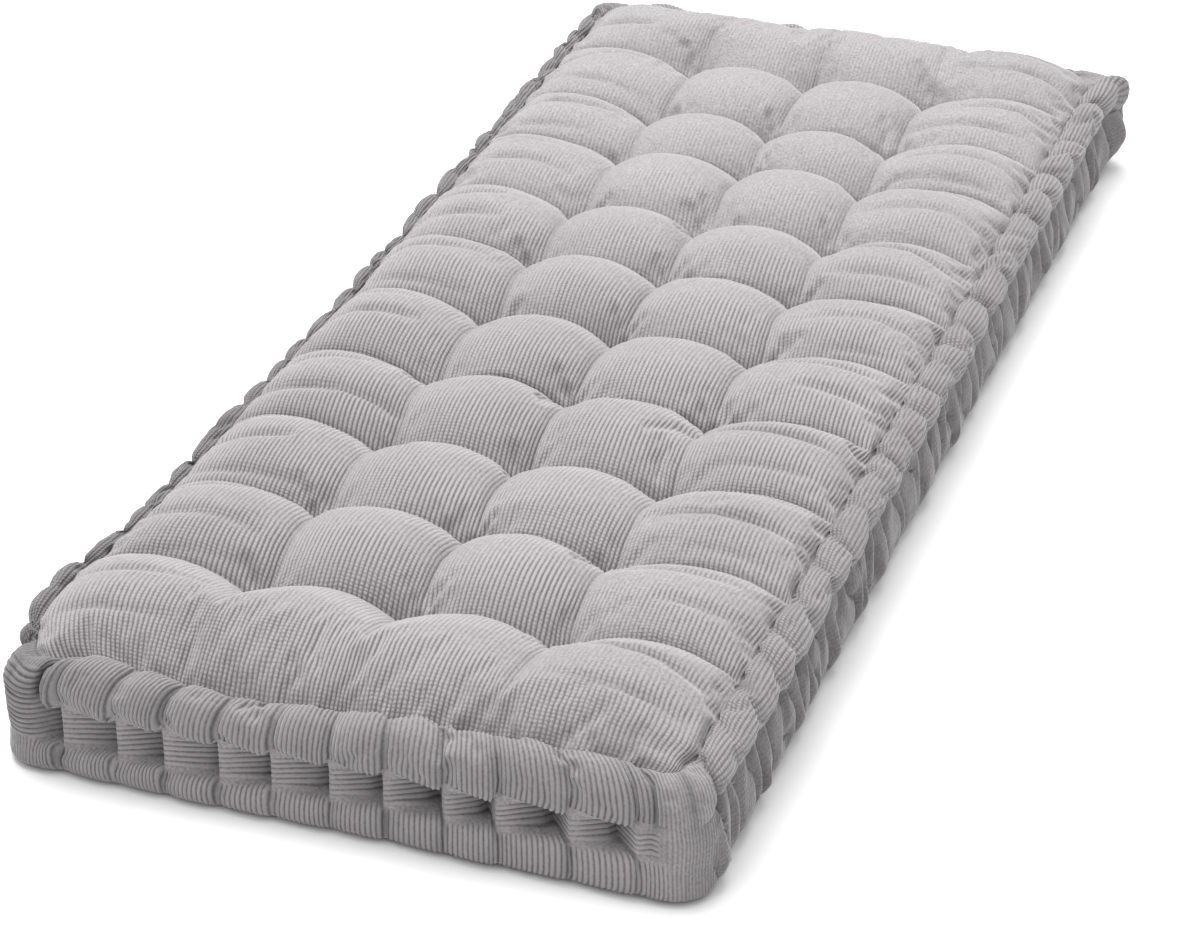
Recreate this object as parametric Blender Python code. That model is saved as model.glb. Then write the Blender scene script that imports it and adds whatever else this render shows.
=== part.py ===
"""Tufted bench cushion: one filled solid.

Metres, +Z up. The origin is the centre of the underside. +Y runs along the
cushion and +X across it. Sides are named as they lie: front is -Y, right is +X.

The top is a grid of pillows between tufts that pull the cloth down. Its rim runs
on, ring by ring, down the side: over the stitched roll, into the gathered
pockets of the band, and round the lower roll to the flat underside.
"""
import math
import random

import bmesh
import bpy
from mathutils import Matrix

# Overall size, and the corners of the outermost edge
LENGTH = 1.200
WIDTH = 0.480
CORNER_RADIUS = 0.036

# Tufts: three across, and one row for each place along the cushion
TUFT_COLUMNS = (-0.101, 0.0, 0.101)
TUFT_ROWS = (-0.458, -0.361, -0.253, -0.154, -0.045, 0.053, 0.157, 0.262, 0.355, 0.463)
TUFT_STRAY = 0.003
DIMPLE_RADIUS = 0.011
DIMPLE_DEPTH = 0.004
DIMPLE_SIDES = 6

# Heights of the top above the underside
PIT_HEIGHT = 0.046
CREST_HEIGHT = 0.104
SEAM_HEIGHT = 0.076
CREST_STRAY = 0.003

# The saddle between two neighbouring tufts, as shares of the rise from pit to crest
SADDLE_ACROSS = 0.47
SADDLE_ALONG = 0.53

# How much of a valley is left where it meets the seam at the sides and at the ends
VALLEY_AT_SIDES = 0.75
VALLEY_AT_ENDS = 0.15

# Each side pillow has a shallower crease of its own, which deepens towards the seam
CREASE_WIDTH = 0.010
CREASE_DEPTH = (0.003, 0.008)
CREASE_PLACE = (0.35, 0.65)

# Mesh steps across and along each pillow, and columns round each pocket
STEPS_ACROSS = 9
STEPS_ALONG = 8
EXTRA_END_STEPS = 1
COLUMNS_PER_POCKET = 3

# The top panel stops this far inside the outermost edge, at the stitched seam
SEAM_INSET = 0.027

# The side, from the seam down: each ring's distance inside the outermost edge and
# its height, how far it swells and sinks with each lump of the roll, how far the
# pockets of the band step in and out, and how far it fills out at the corners
SIDE_RINGS = (
    # name,          inset,  height, lump,   pocket, corner
    ("roll_inner",   0.0210, 0.0800, 0.0015, 0.0000, 0.0000),
    ("roll_crest",   0.0120, 0.0825, 0.0025, 0.0000, 0.0000),
    ("roll_outer",   0.0035, 0.0745, 0.0030, 0.0000, 0.0000),
    ("roll_belly",   0.0010, 0.0600, 0.0030, 0.0000, 0.0000),
    ("roll_under",   0.0045, 0.0475, 0.0020, 0.0010, 0.0020),
    ("pocket_top",   0.0100, 0.0430, 0.0000, 0.0070, 0.0080),
    ("pocket_foot",  0.0100, 0.0255, 0.0000, 0.0070, 0.0080),
    ("lower_roll",   0.0020, 0.0190, 0.0010, 0.0015, 0.0010),
    ("base_edge",    0.0060, 0.0000, 0.0010, 0.0000, 0.0000),
)

# Gathering draws the cloth in between lumps: each of the two columns beside a
# pocket's sharp edge slides this share of a column's width towards that edge
GATHER = 0.25

CLOTH_COLOUR = (0.43, 0.41, 0.42, 1.0)
CLOTH_ROUGHNESS = 0.92

SEED = 7


def clear_scene():
    for thing in list(bpy.data.objects):
        bpy.data.objects.remove(thing, do_unlink=True)


def cloth_material():
    material = bpy.data.materials.new("ribbed_chenille")
    material.use_nodes = True
    shader = material.node_tree.nodes["Principled BSDF"]
    shader.inputs["Base Color"].default_value = CLOTH_COLOUR
    shader.inputs["Roughness"].default_value = CLOTH_ROUGHNESS
    shader.inputs["Metallic"].default_value = 0.0
    material.diffuse_color = CLOTH_COLOUR
    return material


def cell_lines(stops, steps):
    """Grid lines from stop to stop, with the given number of steps in each cell."""
    lines = [stops[0]]
    for low, high, count in zip(stops, stops[1:], steps):
        lines += [low + (high - low) * n / count for n in range(1, count)] + [high]
    return lines


def panel_stops(places, half_size):
    edge = half_size - SEAM_INSET
    return (-edge, *places, edge)


def dome(share):
    """Puffed profile from one tuft, at 0, over a crest of 1, to the next tuft, at 1."""
    return math.sqrt(max(0.0, 1.0 - (2.0 * share - 1.0) ** 2))


def cell_share(place, stops):
    """(cell, share): the cell between two stops, and how far along it a place is."""
    cell = max(n for n in range(len(stops) - 1) if stops[n] <= place)
    return cell, (place - stops[cell]) / (stops[cell + 1] - stops[cell])


def pillow_profile(place, stops, valley_at_edge):
    """(rise, fall, depth) of the puffed profile at a place between the stops.

    rise is 0 at a tuft and 1 on a crest. In the outer cells the profile stays on
    the crest, fall takes it down to 0 at the seam, and depth says how much is left
    there of the valleys that run out to the edge.
    """
    cell, share = cell_share(place, stops)
    if 0 < cell < len(stops) - 2:
        return dome(share), 1.0, 1.0
    if cell == 0:
        share = 1.0 - share
    past_crest = max(0.0, 2.0 * share - 1.0)
    depth = 1.0 - (1.0 - valley_at_edge) * math.sin(0.5 * math.pi * share)
    return dome(min(share, 0.5)), math.sqrt(1.0 - past_crest**2), depth


def top_height(x, y, x_stops, y_stops, pillows):
    """Height of the puffed top panel."""
    rise_x, fall_x, depth_x = pillow_profile(x, x_stops, VALLEY_AT_SIDES)
    rise_y, fall_y, depth_y = pillow_profile(y, y_stops, VALLEY_AT_ENDS)
    dip_x = SADDLE_ACROSS * (1.0 - rise_x) * depth_y
    dip_y = SADDLE_ALONG * (1.0 - rise_y) * depth_x
    tufted = CREST_HEIGHT - (CREST_HEIGHT - PIT_HEIGHT) * (dip_x + dip_y)
    cell_x, share_x = cell_share(x, x_stops)
    cell_y, share_y = cell_share(y, y_stops)
    extra, crease_place, crease_depth = pillows[cell_x, cell_y]
    tufted += extra * rise_x * rise_y
    if cell_x in (0, len(x_stops) - 2):
        towards_seam = share_x if cell_x else 1.0 - share_x
        off = (share_y - crease_place) * (y_stops[cell_y + 1] - y_stops[cell_y])
        tufted -= crease_depth * towards_seam * math.exp(-((off / CREASE_WIDTH) ** 2))
    return SEAM_HEIGHT + (tufted - SEAM_HEIGHT) * fall_x * fall_y


def stray_pillows(x_stops, y_stops, chance):
    """(extra height, place of the crease, depth of the crease) of each pillow."""
    return {
        (cell_x, cell_y): (
            chance.uniform(-CREST_STRAY, CREST_STRAY),
            chance.uniform(*CREASE_PLACE),
            chance.uniform(*CREASE_DEPTH),
        )
        for cell_x in range(len(x_stops) - 1)
        for cell_y in range(len(y_stops) - 1)
    }


def round_corner(x, y, half_x, half_y, radius):
    """Moves a point of the rectangle so that the rectangle gets round corners."""
    over_x = abs(x) - (half_x - radius)
    over_y = abs(y) - (half_y - radius)
    if over_x <= 0.0 or over_y <= 0.0:
        return x, y
    pull_x = over_x * math.sqrt(1.0 - 0.5 * (over_y / radius) ** 2)
    pull_y = over_y * math.sqrt(1.0 - 0.5 * (over_x / radius) ** 2)
    return (
        math.copysign(half_x - radius + pull_x, x),
        math.copysign(half_y - radius + pull_y, y),
    )


def outward(x, y, half_x, half_y, radius):
    """Unit vector that points out of the rounded rectangle at a point of its edge."""
    out_x = math.copysign(max(0.0, abs(x) - (half_x - radius)), x)
    out_y = math.copysign(max(0.0, abs(y) - (half_y - radius)), y)
    size = math.hypot(out_x, out_y)
    return out_x / size, out_y / size


def rim_column(across, along, last_across, last_along):
    """Number of a rim point, counted anticlockwise from the front left corner."""
    if along == 0:
        return across
    if across == last_across:
        return last_across + along
    if along == last_along:
        return 2 * last_across + last_along - across
    return 2 * (last_across + last_along) - along


def pocket_wave(column):
    """(lump, step, slide) of a column of the side.

    lump is 1 on the swell of the roll and -1 in the crease between two lumps. step
    is 1 on the fold that stands out, at the left of each pocket, and -1 in the
    hollow at its right. slide moves the column along the edge, in columns, towards
    the sharp edge between that hollow and the next fold.
    """
    place = column % COLUMNS_PER_POCKET
    lump = (0.1, 1.0, -1.0)[place]
    step = (1.0, 0.2, -1.0)[place]
    slide = (-GATHER, 0.0, GATHER)[place]
    return lump, step, slide


def make_top(mesh, x_lines, y_lines):
    """Grid of the top panel, still flat. Returns its points by (across, along)."""
    across, along = len(x_lines) - 1, len(y_lines) - 1
    made = bmesh.ops.create_grid(mesh, x_segments=across, y_segments=along, size=1.0)
    return {
        (round((v.co.x + 1) / 2 * across), round((v.co.y + 1) / 2 * along)): v
        for v in made["verts"]
    }


def puff_top(points, x_lines, y_lines, x_stops, y_stops, chance):
    """Moves the grid to the pillows, with each tuft a little off its place."""
    half_x, half_y = x_stops[-1], y_stops[-1]
    radius = CORNER_RADIUS - SEAM_INSET
    pillows = stray_pillows(x_stops, y_stops, chance)
    for (across, along), vertex in points.items():
        x, y = x_lines[across], y_lines[along]
        z = top_height(x, y, x_stops, y_stops, pillows)
        vertex.co = (*round_corner(x, y, half_x, half_y, radius), z)
    spread = 0.5 * (TUFT_COLUMNS[1] - TUFT_COLUMNS[0])
    for x in TUFT_COLUMNS:
        for y in TUFT_ROWS:
            stray_x, stray_y = (chance.uniform(-TUFT_STRAY, TUFT_STRAY) for _ in range(2))
            for vertex in points.values():
                near = 1.0 - math.hypot(vertex.co.x - x, vertex.co.y - y) / spread
                if near > 0.0:
                    vertex.co.x += stray_x * near
                    vertex.co.y += stray_y * near


def add_side(mesh, points, x_lines, y_lines, chance):
    """Runs the rim of the top down the side, ring by ring. Returns the last ring."""
    last_across, last_along = len(x_lines) - 1, len(y_lines) - 1
    half_x, half_y = x_lines[-1], y_lines[-1]
    number = mesh.verts.layers.int["column"]
    rim = {}
    for (across, along), vertex in points.items():
        if across in (0, last_across) or along in (0, last_along):
            column = rim_column(across, along, last_across, last_along)
            vertex[number] = column
            rim[column] = (x_lines[across], y_lines[along])
    pockets = len(rim) // COLUMNS_PER_POCKET
    size = [chance.uniform(0.6, 1.4) for _ in range(pockets)]
    depth = [chance.uniform(0.75, 1.25) for _ in range(pockets)]
    column_width = 2.0 * (LENGTH + WIDTH) / len(rim)
    ring = [edge for edge in mesh.edges if edge.is_boundary]
    for _name, inset, height, lump_size, pocket_size, corner_size in SIDE_RINGS:
        made = bmesh.ops.extrude_edge_only(mesh, edges=ring)["geom"]
        ring = [item for item in made if isinstance(item, bmesh.types.BMEdge)]
        for vertex in [item for item in made if isinstance(item, bmesh.types.BMVert)]:
            column = vertex[number]
            pocket = column // COLUMNS_PER_POCKET
            lump, step, slide = pocket_wave(column)
            x, y = rim[column]
            swell = lump_size * lump * size[pocket]
            reach = SEAM_INSET - inset + 0.5 * swell
            corner = CORNER_RADIUS - inset
            grown_x, grown_y = half_x + reach, half_y + reach
            x, y = x * grown_x / half_x, y * grown_y / half_y
            x, y = round_corner(x, y, grown_x, grown_y, corner)
            out_x, out_y = outward(x, y, grown_x, grown_y, corner)
            bend = 2.0 * abs(out_x * out_y)
            push = pocket_size * step * depth[pocket] * (1.0 - bend) + corner_size * bend
            along_edge = slide * column_width
            vertex.co = (
                x + out_x * push - out_y * along_edge,
                y + out_y * push + out_x * along_edge,
                height + (swell if height > SEAM_HEIGHT else 0.0),
            )
    return ring


def cushion_mesh():
    """The whole cushion as one closed mesh."""
    chance = random.Random(SEED)
    x_stops = panel_stops(TUFT_COLUMNS, WIDTH / 2)
    y_stops = panel_stops(TUFT_ROWS, LENGTH / 2)
    x_lines = cell_lines(x_stops, [STEPS_ACROSS] * (len(x_stops) - 1))
    y_steps = [STEPS_ALONG] * (len(y_stops) - 1)
    y_steps[0] += EXTRA_END_STEPS
    y_steps[-1] += EXTRA_END_STEPS
    y_lines = cell_lines(y_stops, y_steps)
    mesh = bmesh.new()
    mesh.verts.layers.int.new("column")
    points = make_top(mesh, x_lines, y_lines)
    puff_top(points, x_lines, y_lines, x_stops, y_stops, chance)
    last_ring = add_side(mesh, points, x_lines, y_lines, chance)
    bmesh.ops.edgeloop_fill(mesh, edges=last_ring)
    bmesh.ops.recalc_face_normals(mesh, faces=mesh.faces)
    return mesh


def dimple_mesh():
    """One shallow cone under each tuft, where its tie draws the underside in."""
    mesh = bmesh.new()
    for x in TUFT_COLUMNS:
        for y in TUFT_ROWS:
            # Below the underside the cone goes on down, so that the cut runs clear
            bmesh.ops.create_cone(
                mesh,
                cap_ends=True,
                segments=DIMPLE_SIDES,
                radius1=2.0 * DIMPLE_RADIUS,
                radius2=0.0,
                depth=2.0 * DIMPLE_DEPTH,
                matrix=Matrix.Translation((x, y, 0.0)),
            )
    return mesh


def add_object(name, mesh, collection):
    data = bpy.data.meshes.new(name)
    mesh.to_mesh(data)
    mesh.free()
    thing = bpy.data.objects.new(name, data)
    collection.objects.link(thing)
    return thing


def add_collection(name):
    collection = bpy.data.collections.new(name)
    bpy.context.scene.collection.children.link(collection)
    return collection


def main():
    clear_scene()
    cushion = add_object("cushion", cushion_mesh(), add_collection("bench_cushion"))
    cushion.data.shade_smooth()
    cushion.data.materials.append(cloth_material())
    dimples = add_object("dimple_cutter", dimple_mesh(), add_collection("cutters"))
    dimples.hide_render = True
    dimples.display_type = "WIRE"
    cut = cushion.modifiers.new("tuft_dimples", "BOOLEAN")
    cut.operation = "DIFFERENCE"
    cut.object = dimples


main()
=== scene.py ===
"""Looks of the tufted bench cushion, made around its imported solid.

Metres, +Z up, in the solid's own frame: front is -Y, right is +X. The top panel and
the stitched roll round it are one simulated cloth. Its moves are then added to the
same shape on a finer grid whose lines follow the ribs of the chenille, three lines
to a rib, so that the ribs are real relief. The side below the roll, the underside and
the sewing are shaped in code alone.
"""
import math
import random

import bpy
import numpy as np
from mathutils import Matrix, Vector


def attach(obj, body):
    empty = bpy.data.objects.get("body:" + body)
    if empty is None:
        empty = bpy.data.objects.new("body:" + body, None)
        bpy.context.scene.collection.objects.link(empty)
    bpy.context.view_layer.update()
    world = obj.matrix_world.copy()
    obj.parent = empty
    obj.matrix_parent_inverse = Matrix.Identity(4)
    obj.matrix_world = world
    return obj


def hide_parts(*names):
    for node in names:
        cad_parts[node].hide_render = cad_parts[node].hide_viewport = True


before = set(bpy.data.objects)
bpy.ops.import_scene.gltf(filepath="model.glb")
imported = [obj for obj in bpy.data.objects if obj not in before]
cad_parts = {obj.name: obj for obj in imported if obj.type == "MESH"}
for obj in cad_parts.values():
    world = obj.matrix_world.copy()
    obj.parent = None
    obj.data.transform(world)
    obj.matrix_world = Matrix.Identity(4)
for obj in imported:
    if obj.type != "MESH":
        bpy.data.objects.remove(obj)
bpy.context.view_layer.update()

# Overall size, and the corners of the outermost edge, as in the solid
LENGTH = 1.200
WIDTH = 0.480
CORNER_RADIUS = 0.036
TENTHS = 10000.0  # tenths of a millimetre in a metre

# The seam of the top panel: distance inside the outermost edge on each side
SEAM_LEFT = 0.0265
SEAM_RIGHT = 0.0215
SEAM_END = 0.0270

# Tufts: three across, and one row for each place along the cushion
TUFT_COLUMNS = (-0.101, 0.0, 0.101)
TUFT_ROWS = (-0.458, -0.361, -0.253, -0.154, -0.045, 0.053, 0.157, 0.262, 0.355, 0.463)
TUFTS = [(x, y) for x in TUFT_COLUMNS for y in TUFT_ROWS]
TUFT_STRAY = 0.003

# Heights of the top above the underside
PIT_HEIGHT = 0.046
CREST_HEIGHT = 0.103
CREST_STRAY = 0.0025
BACK_DROP = 0.0018

# Where the top dips, as shares of the rise from pit to crest: in the valleys between
# columns, in the valleys between rows, and on top of both at the tufts. The domes
# between are half circles at 0.5 and parabolas at 1.
DIP_COLUMNS = 0.27
DIP_ROWS = 0.50
DIP_TUFTS = 0.23
DOME_ACROSS = 0.80
DOME_ALONG = 0.55

# How much of a valley is left where it meets the seam at the sides and at the ends, and
# how the crest falls to the seam there: two powers, of the way out and of the fall
VALLEY_AT_SIDES = 0.70
VALLEY_AT_ENDS = 0.03
FALL_AT_SIDES = (2.2, 0.72)
FALL_AT_ENDS = (2.0, 0.9)
SEAM_BLEND = 0.02

# Creases that run in from each stitch of the seam, on the sides and on the ends: least
# and greatest depth in metres, and reach, where 1 is as far as the tufts. Each is wider
# at the stitch and further in, and shallow where it starts.
SIDE_CREASE_DEPTH = (0.0030, 0.0135)
SIDE_CREASE_REACH = (0.60, 1.15)
END_CREASE_DEPTH = (0.0003, 0.0016)
END_CREASE_REACH = (0.15, 0.40)
CREASE_WIDTH = 0.0026
CREASE_SPREAD = 0.0032
CREASE_MOUTH = 0.0035
CREASE_MOUTH_REACH = 0.12
CREASE_SLANT = 0.012
CREASE_FADE = 0.45
CREASE_START = 0.04
CREASE_RUN_IN = 0.42

# Ruck of cloth behind each tuft, and the star of wrinkles round it
RUCK_HEIGHT = (0.0004, 0.0028)
RUCK_SIZE = (0.0068, 0.0030)
RUCK_BEHIND = 0.0085
RUCK_ASIDE = 0.004
STAR_DEPTH = 0.0008
STAR_REACH = 0.013
STAR_SPOKES = 7.0

# The side, from the seam down to the underside, at 15 levels: distance inside the
# outermost edge and height, in tenths of a millimetre. The ends have a roll, with
# pockets sewn in between posts below it. The sides have a narrow rope of cloth over a
# pleated wall. The corners are plain and bulge out.
POST = (
    (270, 730), (238, 758), (178, 768), (100, 738), (45, 660), (30, 585), (48, 525), (58, 480),
    (62, 425), (62, 330), (58, 270), (45, 215), (22, 135), (40, 40), (140, 0),
)
POCKET = (
    (270, 730), (236, 762), (172, 776), (90, 745), (28, 660), (8, 570), (30, 490), (128, 470),
    (190, 440), (182, 312), (130, 280), (30, 258), (5, 150), (30, 40), (140, 0),
)
RIGHT_WALL = (
    (215, 725), (190, 782), (128, 816), (45, 800), (-12, 735), (-8, 665), (40, 615), (48, 560),
    (30, 480), (16, 400), (6, 320), (2, 240), (6, 150), (40, 45), (140, 0),
)
LEFT_WALL = (
    (265, 700), (250, 752), (212, 780), (172, 760), (156, 712), (158, 665), (156, 620),
    (120, 560), (70, 490), (40, 400), (22, 320), (12, 240), (12, 150), (45, 45), (140, 0),
)
CORNER = (
    (260, 735), (225, 760), (165, 762), (85, 725), (30, 660), (5, 600), (-8, 530), (-12, 470),
    (-10, 410), (-6, 330), (0, 272), (4, 215), (-4, 135), (4, 40), (140, 0),
)
LIP = 6
FOOT = len(POST) - 1
SLOPE_STEP = 0.05
RISE_SHARE = (1.0, 1.0, 1.0, 0.9, 0.75, 0.5, 0.2, 0, 0, 0, 0, 0, 0, 0, 0)
FOOT_SHARE = (0, 0, 0, 0, 0, 0, 0, 0.1, 0.3, 0.8, 1.0, 1.0, 0.5, 0, 0)
WALL_SHARE = (0, 0, 0, 0, 0, 0, 0.3, 0.7, 1.0, 1.0, 1.0, 1.0, 1.0, 1.0, 0.2)
ROPE_SHARE = (1.0, 1.0, 1.0, 1.0, 1.0, 1.0, 0.7, 0.3, 0, 0, 0, 0, 0, 0, 0)

# Pockets round the side, counted from the front left corner, anticlockwise
POCKETS_END = 12
POCKETS_SIDE = 30
POCKETS = 2 * (POCKETS_END + POCKETS_SIDE)
POCKET_WIDTH = 0.040
CORNERS = (0, POCKETS_END, POCKETS_END + POCKETS_SIDE, 2 * POCKETS_END + POCKETS_SIDE, POCKETS)
CORNER_BLEND = 0.030
CORNER_BULGE = 0.022
CORNER_CREASE = 0.0055
CORNER_CREASE_AT = 0.66
CORNER_CREASE_WIDTH = 0.0040
CORNER_RIBS = 0.5
CORNER_CLOTH = 0.027

# Unevenness of the edge, as (pocket, tenths of a millimetre): of the roll's height, of
# the height of the pockets' foot, and of how far the wall and the rope stand out
RISE = (
    (0, -40), (1.2, 20), (2.7, -20), (3.7, -52), (5, -45), (6.2, -10), (7.7, 45), (9, 25),
    (10.2, 10), (12, 10), (14, 0), (41, 0), (43, 20), (45, 50), (47, 75), (52, 95), (54, 90),
    (58.5, 70), (61, 50), (63.3, 35), (65.5, 10), (71.5, -20), (79.8, -10), (81.5, 30),
    (84, -40),
)
FOOT_RISE = ((0, -50), (4, -40), (7, 0), (12, 30), (14, 0), (82, 0), (84, -50))
WALL_OUT = (
    (0, 40), (1, 0), (7, 0), (12, 45), (13.5, 0), (53, 0), (56, 60), (62, 40), (66, 20),
    (72, 0), (83, 0), (84, 40),
)
ROPE_OUT = (
    (0, 30), (1, 0), (52, 0), (54, 90), (57, 100), (59, 80), (63, 50), (67, 30), (72, 15),
    (76, 0), (79.5, 0), (81.5, 70), (83, 90), (84, 30),
)

# Stray of the height of the edge, and of how far the side stands out
HEIGHT_STRAY = 0.0012
DRIFT = 0.0009

# Pull of the front left corner, inwards, and the knot of cloth at the back right one
CORNER_PULL = 0.0145
KNOT_AT = 41.4
KNOT_SIZE = 0.0120
KNOT_REACH = 0.026

# Across one pocket: how deep it is, from the post at its left to its right edge
POCKET_AT = (0.0, 0.05, 0.14, 0.28, 0.45, 0.70, 0.85, 0.92, 0.965, 1.0)
POCKET_DEPTH = (0.0, -0.06, 0.05, 0.25, 0.50, 0.85, 1.20, 1.35, 0.80, 0.0)
POCKET_SLIDE = 0.07
POCKET_SIZES = (0.75, 1.15)

# Lumps of the roll between its stitches, and the creases between the lumps
LUMP_SIZES = (0.3, 1.5)
LUMP_LEVEL = 0.45
GROOVE_SIZES = (0.1, 1.0)
END_LUMP = 0.0034
SIDE_LUMP = 0.0024
END_CREASE = 0.0042
SIDE_CREASE = 0.0030
ROLL_CREASE_WIDTH = 0.0030
ROPE_LEAN = 0.38
ROPE_SHIFT = 0.25
LOWER_LUMP = 0.0012
LOWER_CREASE = 0.0022

# Pleats of the side walls: widths and sizes, depth and profile, lean about the height
# of their middle, stray that is nothing at their top, and how they bend and fade
PLEAT_WIDTH = (0.012, 0.034)
PLEAT_SIZES = (0.45, 1.2)
PLEAT_DEPTH = 0.0085
PLEAT_ROUNDNESS = 0.65
PLEAT_LEVEL = 0.62
PLEAT_FOLD = 0.28
PLEAT_LEAN = 0.22
PLEAT_MIDDLE = 0.03
PLEAT_STRAY = 0.012
PLEAT_TOP = 0.06
PLEAT_BEND = 0.0030
PLEAT_BEND_LENGTH = 0.0085
PLEAT_FADE_LENGTH = 0.014

# Levels of the side between which each form shows: from, rise, to, fall
CORNER_CREASE_LEVELS = (0.0, 1.5, 8.0, 2.0)
PLEAT_LEVELS = (LIP - 1.0, 1.5, FOOT - 0.6, 1.8)
LOWER_LUMP_LEVELS = (10.0, 1.2, FOOT - 0.4, 1.2)
DRIFT_LEVELS = (0.0, 1.5, FOOT - 0.3, 1.5)
KNOT_LEVELS = (1.5, 2.5, 13.6, 3.5)
POCKET_LEVELS = (7.0, 0.8, 10.2, 0.8)
LOWER_RIB_LEVELS = (10.3, 0.7, FOOT - 0.4, 0.8)
CORNER_RIB_LEVELS = (2.4, 1.0, 10.7, 0.8)

# Simulated cloth: grid steps in each cell, columns round each pocket, and rows
SIM_ACROSS = 18
SIM_ALONG = 16
SIM_END_EXTRA = 2
SIM_PER_POCKET = 6
SIM_RINGS = 10
SIM_FRAMES = 20
SIM_GROWTH = 0.03
SIM_EDGE_GROWTH = 0.12
SIM_EDGE_BAND = 0.055
SIM_PRESSURE = 8.0
SIM_SUPPORT = 0.09
SIM_REACH = 0.010
SIM_JITTER = 0.0001
SIM_SETTINGS = {
    "quality": 5,
    "mass": 0.1,
    "tension_stiffness": 15.0,
    "compression_stiffness": 15.0,
    "shear_stiffness": 5.0,
    "bending_stiffness": 0.3,
    "tension_damping": 5.0,
    "compression_damping": 5.0,
    "shear_damping": 5.0,
    "air_damping": 2.0,
    "use_pressure": True,
    "uniform_pressure_force": SIM_PRESSURE,
    "vertex_group_mass": "hold",
    "vertex_group_shrink": "gather",
    "shrink_min": -SIM_GROWTH,
    "shrink_max": -SIM_EDGE_GROWTH,
}

# Ribs of the cloth
RIB_PITCH = 0.0033
LINES_PER_RIB = 3
RIB_HEIGHT = 0.00042
ROW_SPACING = 0.00245
ROW_CROWDING = 0.35
POCKET_RIB_PITCH = 0.0036
POCKET_RIB_HEIGHT = 0.0005
LEVEL_CORNER = 0.026
LEVEL_FROM = 0.3
LOWER_ROWS = (4, 4, 11, 4, 5, 7, 7, 6)
LOWER_RIBS = 1.4
ROPE_BEADS = 0.35

# Chenille: beads of each rib, and how its pile covers them
BEAD_PITCH = 0.0026
BEAD_SHARE = 0.70
RIB_ROUNDNESS = 0.55
BEAD_ROUNDNESS = 0.45
WEAVE_STRAY = 0.0012
STRAY_SCALE = 90.0
CUT_SCALE = 16.0
NAP_PATCHES = 0.5
PATCH_SCALE = 22.0
FUZZ_SCALE = 520.0
FUZZ_RELIEF = 0.64
BUMP_STRENGTH = 0.75
BUMP_DISTANCE = 0.0009
PILE_FINISH = {
    "Roughness": 0.95,
    "Specular IOR Level": 0.15,
    "Sheen Weight": 0.60,
    "Sheen Roughness": 0.3,
}

# Where the nap is brushed, by the way the top slopes and by place, and how much it
# flattens the ribs there. Each place is given as (start, width of its blend).
NAP_CREST = 0.52
NAP_LEFT = 0.30
NAP_FAR = 0.76
NAP_NEAR_RIGHT = 0.24
NAP_MOST = 0.95
NAP_FLATTENS = 0.65
CREST_BRUSHED = (-0.26, 0.30)
LEFT_BLEND = 0.5
RIGHT_BRUSHED = (0.02, 0.14)
NEAR_BRUSHED = (-0.42, 0.30)
FAR_BRUSHED = (-0.22, 0.60)

# Colour of the cloth, and the light and shade painted into it against the top: a painted
# highlight on far slopes, painted shade in folds, pockets, the roll and the side below it
# (end, right, left) and at the first corner, and painted light at the far end
TONE_SCALE = 9.0
TONES = (0.16, 0.92)
GROOVE_RELIEF = 0.10
PILE_RELIEF = 0.80
# Painted highlight on the far slopes of the crests, and the slopes where it shows
RIM_PAINTED_HIGHLIGHT = 0.20
RIM_HIGHLIGHT_SLOPES = (0.10, 0.26, 0.70, 0.20)
# Painted shade in the creases of the top and in the folds of the side
FOLD_PAINTED_SHADE = 0.42
FOLD_DEEP = 0.009
FOLD_POWER = 1.5
# Painted shade in the pockets' recesses
POCKET_PAINTED_SHADE = 0.28
# Painted shade of the roll and of the side below it, as (end, right, left)
ROLL_PAINTED_SHADES = (0.79, 0.86, 0.66)
LOWER_PAINTED_SHADES = (0.90, 0.54, 0.58)
# Painted shade at the first corner, and its reach
CORNER_PAINTED_SHADE = 0.18
CORNER_PAINTED_SHADE_REACH = 0.034
# Painted light at the far end
FAR_PAINTED_LIGHT = 0.06
GROOVE_COLOUR = (0.165, 0.156, 0.160)
PILE_COLOUR = (0.366, 0.350, 0.356)

# Underside
BOTTOM_INSET = 0.0125
BOTTOM_LIFT = 0.0004
DIMPLE_RADIUS = 0.012
DIMPLE_DEPTH = 0.004
BOTTOM_NAP = 0.3

# Sewing: half of a tie, how it rises, and the stitches' levels on the side
TIE_HALF = (0.0042, 0.0008, 0.0)
TIE_LIFT = (0.0, 0.0, 0.0022)
TIE_RADIUS = 0.0009
STITCH_LEVELS = (0.0, 0.35, 0.8)
STITCH_RADIUS = 0.0005

# Camera of the photograph: heading, way down and roll in degrees
CAMERA_ANGLES = (-18.86, 28.296, 0.331)
CAMERA_PLACE = (0.7177, -2.1934, 1.1951)
CAMERA_LENS = 103.68
FLOOR_SIZE = 12.0
FLOOR_COLOUR = (0.88, 0.88, 0.88)
THREAD_COLOUR = (0.40, 0.38, 0.39)

# Light: the white sky at the horizon, how much it rises to the top, and the key light
SKY_HORIZON = 0.13
SKY_RISE = 1.45
KEY_POWER = 207.0
KEY_SIZE = 4.0
KEY_PLACE = (-0.9, 0.9, 4.1)

SEED = 7


# ---- small helpers


def rising(values, start, width):
    return smooth_step((values - start) / width)


def unit(vectors):
    """Vectors along the last axis, each made one long."""
    size = np.linalg.norm(vectors, axis=-1)[..., None]
    return vectors / np.maximum(size, 1e-12)


def arch(places):
    """0 at whole places, and up to 1 half way between them."""
    return np.sin(np.pi * (places % 1.0))


def cloth_run(points, axis=0):
    """Length of the cloth up to each line of a grid, in the mean."""
    steps = np.linalg.norm(np.diff(points, axis=axis), axis=2).mean(axis=1 - axis)
    return np.concatenate(([0.0], np.cumsum(steps)))


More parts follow.
